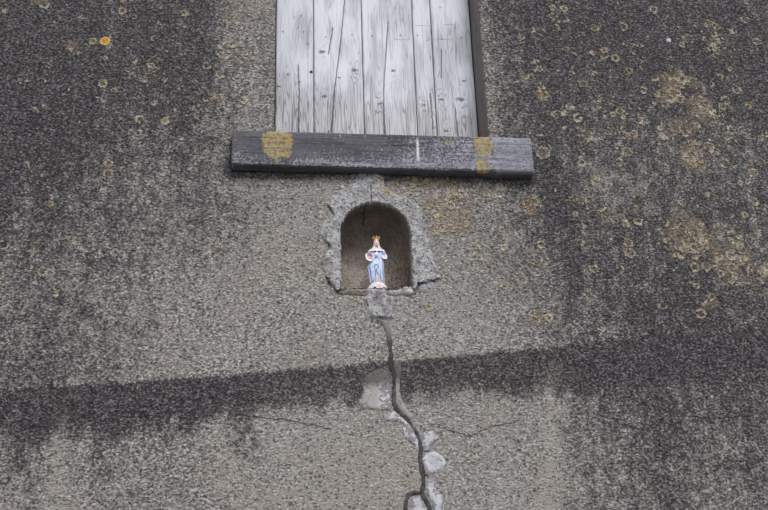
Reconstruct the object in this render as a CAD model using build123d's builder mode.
from build123d import *
from math import cos, pi, sin
import os

# A free-standing bay of a rendered rubble barn wall, from the ground up. An arched niche
# in it shelters a small crowned statue, and a boarded loft hatch on a timber sill is above.
# Millimetres. x = 0 is the middle of the hatch, y = 0 is mid-wall and z = 0 is the ground.
# The front of the wall faces -Y.

os.makedirs("parts", exist_ok=True)

# The wall
bay_width = 3800
wall_depth = 500
front_coat = 25
back_coat = 20
coat_foot = 40
head_rise = 435
pier_under_niche = 238

# The loft hatch
hatch_width = 900
hatch_height = 1300
sill_top = 3600
reveal_coat = 20
board_recess = 170
board_thick = 27
board_gap = 4
board_lift = 3
board_widths = [170, 221, 235, 87, 185]
post_size = 60
ledge_width = 100
ledge_thick = 27
ledge_margin = 60

# The timber sill and the lintels
sill_length = 1240
sill_proud = 50
sill_tail = 3
sill_height_left = 164
sill_height_right = 175
lintel_height = 165
lintel_proud = 6
lintel_outer_depth = 201

# The niche, an opening with a three-centred head
niche_x = -45
niche_drop = 662
niche_width = 282
niche_height = 371
niche_rise = 135
niche_haunch = 120
niche_depth = 150
niche_vault = 60
lining_thick = 12
mortar_proud = 10

# Repairs on the render
patch_thick = 6
lip_thick = 16
crack_width = 17
crack_depth = 8
crack_proud = 3

# The statue, from its foot up
statue_shift = 5
statue_overhang = 8
base_width = 82
base_depth = 58
base_height = 27
base_shrink = 13
skirt_height = 72
chest_height = 60
collar_height = 14
neck_height = 15
face_height = 23
crown_height = 18
crown_width = 30
crown_wall = 3
crown_points = 8

# Planes and heights that follow from the sizes above
face_y = -wall_depth / 2
back_y = wall_depth / 2
stone_front = face_y + front_coat
stone_back = back_y - back_coat
half_bay = bay_width / 2
half_hatch = hatch_width / 2
half_pier = half_hatch + reveal_coat
hatch_head = sill_top + hatch_height
lintel_top = hatch_head + lintel_height
bay_height = lintel_top + head_rise
lintel_front = face_y - lintel_proud
lintel_joint = lintel_front + lintel_outer_depth
board_front = face_y + board_recess
board_back = board_front + board_thick
post_back = board_back + post_size
half_post_gap = half_hatch - post_size
half_sill = sill_length / 2
sill_front = face_y - sill_proud
sill_back = post_back + sill_tail
inner_floor = sill_top - reveal_coat
niche_floor = sill_top - niche_drop
niche_back = face_y + niche_depth
lower_lift = niche_floor - pier_under_niche
mortar_front = face_y - mortar_proud


def upright(y):
    """Drawing plane across the wall at depth y: its local axes are x and z."""
    return Plane.XZ.offset(-y)


def block(x_span, y_span, z_span, mode=Mode.ADD):
    """Rectangular block between three pairs of limits."""
    centre = [(span[0] + span[1]) / 2 for span in (x_span, y_span, z_span)]
    size = [span[1] - span[0] for span in (x_span, y_span, z_span)]
    with Locations(tuple(centre)):
        Box(*size, mode=mode)


def keep(name, made):
    """Label a finished piece and write its file."""
    made.part.label = name
    export_step(made.part, f"parts/{name}.step")


def niche_outline(y, grow):
    """Face of the niche opening at depth y, wider all round by grow."""
    half = niche_width / 2 + grow
    haunch = niche_haunch + grow
    rise = niche_rise + grow
    inset = half - haunch
    crown = (inset**2 + rise**2 - haunch**2) / (2 * (rise - haunch))
    spring = niche_floor + niche_height - niche_rise
    floor = niche_floor - grow
    centre_low = spring + rise - crown
    # where a haunch arc meets the crown arc, on the line through both centres
    share = haunch / (crown - haunch)
    meet_x = inset + inset * share
    meet_z = spring + (spring - centre_low) * share
    with BuildSketch(upright(y)) as opening:
        with BuildLine():
            Line((niche_x - half, floor), (niche_x + half, floor))
            Line((niche_x + half, floor), (niche_x + half, spring))
            RadiusArc((niche_x + half, spring), (niche_x + meet_x, meet_z), -haunch)
            RadiusArc((niche_x + meet_x, meet_z), (niche_x - meet_x, meet_z), -crown)
            RadiusArc((niche_x - meet_x, meet_z), (niche_x - half, spring), -haunch)
            Line((niche_x - half, spring), (niche_x - half, floor))
        make_face()
    return opening.sketch


def niche_cut(front):
    """The hole in the masonry that the niche's lining fills, from depth front."""
    with BuildPart() as cut:
        extrude(niche_outline(front, lining_thick), amount=front - niche_back - lining_thick)
    return cut.part


def niche_hollow(front):
    """The open space of the niche from depth front, with its back corners and vault rounded."""
    with BuildPart() as hollow:
        extrude(niche_outline(front, 0), amount=front - niche_back)
        back_face = hollow.faces().sort_by(Axis.Y)[-1]
        rim = back_face.edges().sort_by(Axis.Z)[1:]
        fillet(rim, radius=niche_vault)
    return hollow.part


def by_niche(points):
    """Points given about the middle of the niche's floor edge, placed on the wall."""
    return [(niche_x + x, niche_floor + z) for x, z in points]


def blot(y, points):
    """Face of a mortar patch with a broken, angular edge."""
    with BuildSketch(upright(y)) as patch:
        with BuildLine():
            Polyline(*by_niche(points), close=True)
        make_face()
    return patch.sketch


# The timber sill, a heavy weathered baulk that is a little deeper at its right end
with BuildPart() as sill_beam:
    with BuildSketch(upright(sill_front)):
        with BuildLine():
            Polyline(
                (-half_sill, sill_top),
                (half_sill, sill_top),
                (half_sill, sill_top - sill_height_right),
                (-half_sill, sill_top - sill_height_left),
                close=True,
            )
        make_face()
    extrude(amount=sill_front - sill_back)
keep("sill_beam", sill_beam)

# Two timber lintels side by side through the wall
with BuildPart() as lintel_outer:
    block((-half_sill, half_sill), (lintel_front, lintel_joint), (hatch_head, lintel_top))
keep("lintel_outer", lintel_outer)

with BuildPart() as lintel_inner:
    block((-half_sill, half_sill), (lintel_joint, back_y), (hatch_head, lintel_top))
keep("lintel_inner", lintel_inner)

# Rubble masonry, in lifts: below the niche, around it, beside the hatch and over it
with BuildPart() as wall_foot:
    block((-half_bay, half_bay), (stone_front, stone_back), (0, lower_lift))
keep("wall_foot", wall_foot)

with BuildPart() as niche_pier:
    block((-half_pier, half_pier), (stone_front, stone_back), (lower_lift, inner_floor))
    add(niche_cut(stone_front), mode=Mode.SUBTRACT)
    add(sill_beam.part, mode=Mode.SUBTRACT)
keep("niche_pier", niche_pier)

for side, name in ((-1, "wall_left"), (1, "wall_right")):
    with BuildPart() as wall_side:
        across = sorted((side * half_pier, side * half_bay))
        block(across, (stone_front, stone_back), (lower_lift, lintel_top))
        for timber in (sill_beam, lintel_outer, lintel_inner):
            add(timber.part, mode=Mode.SUBTRACT)
    keep(name, wall_side)

with BuildPart() as wall_head:
    block((-half_bay, half_bay), (stone_front, stone_back), (lintel_top, bay_height))
keep("wall_head", wall_head)

# The niche: a mortar lining, a rough ring of newer mortar round it and a lip under its floor
with BuildPart() as niche_lining:
    add(niche_cut(mortar_front))
    add(niche_hollow(mortar_front), mode=Mode.SUBTRACT)
keep("niche_lining", niche_lining)

ring_points = [
    (-152, 0), (-152, -15), (-191, 27), (-202, 80), (-197, 129), (-181, 173), (-210, 212),
    (-210, 251), (-196, 287), (-166, 328), (-188, 358), (-160, 409), (-113, 431), (-80, 468),
    (-55, 505), (-17, 511), (39, 486), (47, 445), (88, 410), (135, 395), (185, 350),
    (196, 299), (210, 198), (226, 144), (246, 80), (249, 39), (207, 31), (165, 19), (146, 0),
]
with BuildPart() as niche_surround:
    extrude(blot(mortar_front, ring_points), amount=mortar_front - stone_front)
    extrude(niche_outline(mortar_front, lining_thick), amount=mortar_front - stone_front, mode=Mode.SUBTRACT)
    add(sill_beam.part, mode=Mode.SUBTRACT)
keep("niche_surround", niche_surround)

lip_points = [
    (-152, -20), (-138, -2), (139, -2), (150, -12), (131, -36), (95, -27), (23, -30), (-49, -33), (-98, -29),
]
with BuildPart() as niche_lip:
    extrude(blot(face_y - lip_thick, lip_points), amount=-lip_thick)
    extrude(niche_outline(face_y - lip_thick, lining_thick), amount=-lip_thick, mode=Mode.SUBTRACT)
    add(niche_surround.part, mode=Mode.SUBTRACT)
keep("niche_lip", niche_lip)

# The long crack below, packed with dark mortar, and the pale patches on both sides of it
crack_trunk = [
    (-7, -127), (15, -133), (39, -181), (46, -258), (46, -312), (59, -353), (54, -413), (53, -451),
    (63, -478), (100, -516), (113, -546), (131, -569), (147, -625), (142, -658), (148, -698),
    (153, -749), (152, -778), (169, -803), (181, -846), (173, -938), (187, -1058), (176, -1178),
]
crack_branch = [
    (152, -778), (136, -788), (110, -798), (95, -812), (87, -844), (75, -928), (89, -1018),
]
with BuildPart() as crack_seal:
    for route in (crack_trunk, crack_branch):
        with BuildSketch(upright(face_y - crack_proud)):
            with BuildLine():
                Polyline(*by_niche(route))
            trace(line_width=crack_width)
        extrude(amount=-crack_proud - crack_depth)
keep("crack_seal", crack_seal)

patches = {
    "patch_under_niche": [
        (-49, -47), (-13, -35), (14, -32), (72, -44), (63, -122), (11, -124), (-33, -118), (-37, -80),
    ],
    "patch_crack_top": [
        (-55, -353), (8, -325), (46, -341), (47, -389), (39, -428), (41, -482), (-16, -482),
        (-69, -474), (-76, -447), (-64, -416),
    ],
    "patch_crack_strip": [
        (49, -486), (26, -498), (17, -521), (55, -525), (86, -533), (77, -571), (99, -594),
        (124, -617), (137, -637), (142, -602), (130, -571), (112, -541), (79, -510),
    ],
    "patch_crack_star": [
        (150, -579), (176, -564), (199, -564), (221, -591), (197, -602), (185, -621), (186, -638),
        (157, -638),
    ],
    "patch_crack_round": [
        (148, -673), (165, -647), (196, -640), (225, -659), (237, -678), (219, -708), (184, -724),
        (166, -711),
    ],
    "patch_crack_low": [
        (162, -740), (194, -748), (192, -777), (221, -803), (219, -850), (195, -898), (174, -849),
        (154, -802), (149, -788),
    ],
    "patch_crack_foot": [
        (90, -801), (139, -795), (153, -824), (170, -849), (145, -898), (103, -848), (112, -816),
    ],
}
for name, points in patches.items():
    with BuildPart() as patch:
        extrude(blot(face_y - patch_thick, points), amount=-patch_thick)
        add(crack_seal.part, mode=Mode.SUBTRACT)
        add(niche_lip.part, mode=Mode.SUBTRACT)
    keep(name, patch)

# Roughcast coats on the two faces, and the smoother coat in the hatch's reveals
with BuildPart() as front_render:
    block((-half_bay, half_bay), (face_y, stone_front), (coat_foot, bay_height))
    block((-half_pier, half_pier), (face_y, stone_front), (sill_top, hatch_head), mode=Mode.SUBTRACT)
    for filled in (sill_beam.part, lintel_outer.part, niche_surround.part, crack_seal.part):
        add(filled, mode=Mode.SUBTRACT)
    extrude(niche_outline(face_y, lining_thick), amount=-front_coat, mode=Mode.SUBTRACT)
keep("front_render", front_render)

with BuildPart() as back_render:
    block((-half_bay, half_bay), (stone_back, back_y), (coat_foot, bay_height))
    block((-half_pier, half_pier), (stone_back, back_y), (inner_floor, hatch_head), mode=Mode.SUBTRACT)
    add(lintel_inner.part, mode=Mode.SUBTRACT)
keep("back_render", back_render)

for side, name in ((-1, "reveal_left"), (1, "reveal_right")):
    with BuildPart() as reveal:
        across = sorted((side * half_hatch, side * half_pier))
        block(across, (face_y, back_y), (sill_top, hatch_head))
    keep(name, reveal)

with BuildPart() as reveal_floor:
    block((-half_pier, half_pier), (sill_back, back_y), (inner_floor, sill_top))
keep("reveal_floor", reveal_floor)

# The boarded hatch: two posts and a head, three ledges between them and a row of upright boards
for side, name in ((-1, "frame_post_left"), (1, "frame_post_right")):
    with BuildPart() as post:
        across = sorted((side * half_post_gap, side * half_hatch))
        block(across, (board_back, post_back), (sill_top, hatch_head))
    keep(name, post)

with BuildPart() as frame_head:
    block((-half_post_gap, half_post_gap), (board_back, post_back), (hatch_head - post_size, hatch_head))
keep("frame_head", frame_head)

ledge_low = sill_top + ledge_margin
ledge_high = hatch_head - post_size - ledge_margin - ledge_width
ledge_bottoms = {
    "ledge_bottom": ledge_low,
    "ledge_middle": (ledge_low + ledge_high) / 2,
    "ledge_top": ledge_high,
}
for name, bottom in ledge_bottoms.items():
    with BuildPart() as ledge:
        block(
            (-half_post_gap, half_post_gap),
            (board_back, board_back + ledge_thick),
            (bottom, bottom + ledge_width),
        )
    keep(name, ledge)

board_start = -half_hatch + board_gap / 2
board_room = hatch_width - board_gap
for number, width in enumerate(board_widths):
    left = board_start + board_room * sum(board_widths[:number]) / sum(board_widths)
    right = left + board_room * width / sum(board_widths)
    with BuildPart() as board:
        block(
            (left + board_gap / 2, right - board_gap / 2),
            (board_front, board_back),
            (sill_top + board_lift, hatch_head - board_lift),
        )
    keep(f"hatch_board_{number + 1}", board)

# The statue stands at the front edge of the niche's floor
statue_x = niche_x + statue_shift
statue_y = face_y - statue_overhang + base_depth / 2
flare_z = base_height + skirt_height
shoulder_z = flare_z + chest_height
collar_z = shoulder_z + collar_height
chin_z = collar_z + neck_height
brow_z = chin_z + face_height


def facet(*places):
    """Flat face with straight edges between the given places."""
    return Face(Wire.make_polygon(places, close=True))


def shape_rings(rings, mode=Mode.ADD):
    """Solid of flat facets between rings of places. The first and the last ring are closed."""
    faces = [facet(*rings[0]), facet(*rings[-1])]
    for near, far in zip(rings, rings[1:]):
        for here in range(len(near)):
            after = (here + 1) % len(near)
            faces.append(facet(near[here], near[after], far[after]))
            faces.append(facet(near[here], far[after], far[here]))
    add(Solid(Shell(faces)), mode=mode)


def ring(z, left, right, depth, forward=0, folds=10, ripple=0.0):
    """Level ring of places on the statue at height z above the niche's floor.

    left and right are its reach from the statue's axis. The edge runs in and out with the
    folds by a share ripple of the ring's size.
    """
    middle = statue_x + (right - left) / 2
    half_wide = (left + right) / 2
    half_deep = depth / 2
    places = []
    for step in range(2 * folds):
        turn = pi * step / folds
        swing = 1 + ripple * (-1) ** step
        x = middle + half_wide * swing * cos(turn)
        y = statue_y - forward + half_deep * swing * sin(turn)
        places.append((x, y, niche_floor + z))
    return places


def drape(levels, **shape):
    """Solid between level rings, each given as the arguments of ring."""
    shape_rings([ring(*level, **shape) for level in levels])


# Its base is a flared rock with a rosette on the front
half_base = base_width / 2
with BuildPart() as statue_base:
    drape(
        [
            (0, half_base, half_base, base_depth),
            (base_height * 0.3, half_base - 2, half_base - 2, base_depth - 3),
            (base_height * 0.65, half_base - base_shrink / 2, half_base - base_shrink / 2, base_depth - 9),
            (base_height, half_base - base_shrink, half_base - base_shrink, base_depth - base_shrink),
        ],
        folds=9,
        ripple=0.035,
    )
    rosette_z = niche_floor + base_height / 2
    with BuildSketch(Plane(origin=(statue_x, statue_y - base_depth / 2, rosette_z), z_dir=(0, -1, 0))):
        RegularPolygon(radius=base_height * 0.42, side_count=10)
    extrude(amount=-base_depth / 4)
keep("statue_base", statue_base)

# The gown fills the cloak, which is open in front below the knees
gown_levels = [
    (base_height, 26, 24, 38),
    (base_height + skirt_height / 2, 26, 22, 36),
    (flare_z, 25, 22, 34),
    (shoulder_z, 22, 22, 28),
]
with BuildPart() as statue_gown:
    drape(gown_levels, folds=10, ripple=0.05)
keep("statue_gown", statue_gown)

with BuildPart() as statue_mantle:
    drape(
        [
            (base_height, 31, 28, 43),
            (base_height + skirt_height / 2, 35, 28, 44),
            (flare_z, 39, 28, 43),
            (flare_z + chest_height * 0.3, 31, 28, 38),
            (shoulder_z, 29, 29, 34),
        ],
        folds=10,
        ripple=0.04,
    )
    with BuildSketch(upright(statue_y)):
        with BuildLine():
            Polyline(
                (statue_x - 15, niche_floor + base_height),
                (statue_x + 17, niche_floor + base_height),
                (statue_x - 4, niche_floor + base_height + skirt_height * 0.7),
                close=True,
            )
        make_face()
    extrude(amount=base_depth, mode=Mode.SUBTRACT)
    add(statue_gown.part, mode=Mode.SUBTRACT)
keep("statue_mantle", statue_mantle)

# Wide sleeves hang from the forearms, the left one lower, and the hands meet between them
sleeves = {
    "statue_sleeve_left": [
        (shoulder_z, 30, -14, 20, 2),
        (shoulder_z - chest_height * 0.3, 41, -15, 30, 4),
        (shoulder_z - chest_height * 0.52, 47, -17, 28, 4),
        (shoulder_z - chest_height * 0.7, 43, -27, 18, 4),
    ],
    "statue_sleeve_right": [
        (shoulder_z, -14, 30, 20, 2),
        (shoulder_z - chest_height * 0.3, -15, 39, 28, 4),
        (shoulder_z - chest_height * 0.5, -19, 36, 18, 4),
    ],
}
for name, levels in sleeves.items():
    with BuildPart() as sleeve:
        drape(levels, folds=5, ripple=0.03)
        add(statue_gown.part, mode=Mode.SUBTRACT)
        add(statue_mantle.part, mode=Mode.SUBTRACT)
    keep(name, sleeve)

with BuildPart() as statue_hands:
    drape(
        [
            (shoulder_z - chest_height * 0.5, 9, 4, 10, 17),
            (shoulder_z - chest_height * 0.3, 9, 3, 12, 18),
            (shoulder_z - chest_height * 0.05, 5, 1, 7, 16),
        ],
        folds=4,
    )
    add(statue_gown.part, mode=Mode.SUBTRACT)
    add(statue_mantle.part, mode=Mode.SUBTRACT)
keep("statue_hands", statue_hands)

with BuildPart() as statue_collar:
    drape(
        [
            (shoulder_z, 35, 35, 42),
            (shoulder_z + collar_height / 2, 34, 34, 40),
            (collar_z, 24, 24, 32),
        ],
        folds=12,
        ripple=0.025,
    )
keep("statue_collar", statue_collar)

# Neck and face in one, under a veil that opens round the face
with BuildPart() as statue_head:
    drape(
        [
            (collar_z, 7, 7, 13, 1),
            (chin_z - neck_height * 0.2, 6, 6, 12, 2),
            (chin_z, 6, 6, 14, 4),
            (chin_z + face_height * 0.25, 9, 9, 19, 4),
            (chin_z + face_height * 0.6, 10, 10, 21, 4),
            (brow_z, 9, 9, 18, 3),
        ],
        folds=7,
    )
keep("statue_head", statue_head)

with BuildPart() as statue_veil:
    drape(
        [
            (collar_z, 23, 23, 31),
            (chin_z, 15, 15, 27),
            (chin_z + face_height * 0.5, 13, 13, 26),
            (brow_z, 10, 10, 20),
        ],
        folds=9,
        ripple=0.03,
    )
    block(
        (statue_x - 7, statue_x + 7),
        (statue_y - base_depth / 2, statue_y - 6),
        (niche_floor + chin_z - neck_height * 0.4, niche_floor + brow_z),
        mode=Mode.SUBTRACT,
    )
    add(statue_head.part, mode=Mode.SUBTRACT)
keep("statue_veil", statue_veil)

# An open, flared crown whose rim rises to a point on every second facet edge
crown_z = brow_z + crown_height
half_crown = crown_width / 2
crown_foot = half_crown * 0.6
crown_notch = crown_height * 0.45


def crown_ring(reach, peak, valley):
    """Ring of places round the crown, by turns at the heights peak and valley."""
    places = []
    for step in range(2 * crown_points):
        turn = pi * step / crown_points
        z = niche_floor + (valley if step % 2 else peak)
        places.append((statue_x + reach * cos(turn), statue_y + reach * sin(turn), z))
    return places


with BuildPart() as statue_crown:
    bowl_floor = brow_z + crown_wall
    shape_rings(
        [
            crown_ring(crown_foot, brow_z, brow_z),
            crown_ring(half_crown, crown_z, crown_z - crown_notch),
            crown_ring(half_crown - crown_wall, crown_z, crown_z - crown_notch),
            crown_ring(crown_foot - crown_wall, bowl_floor, bowl_floor),
        ]
    )
keep("statue_crown", statue_crown)
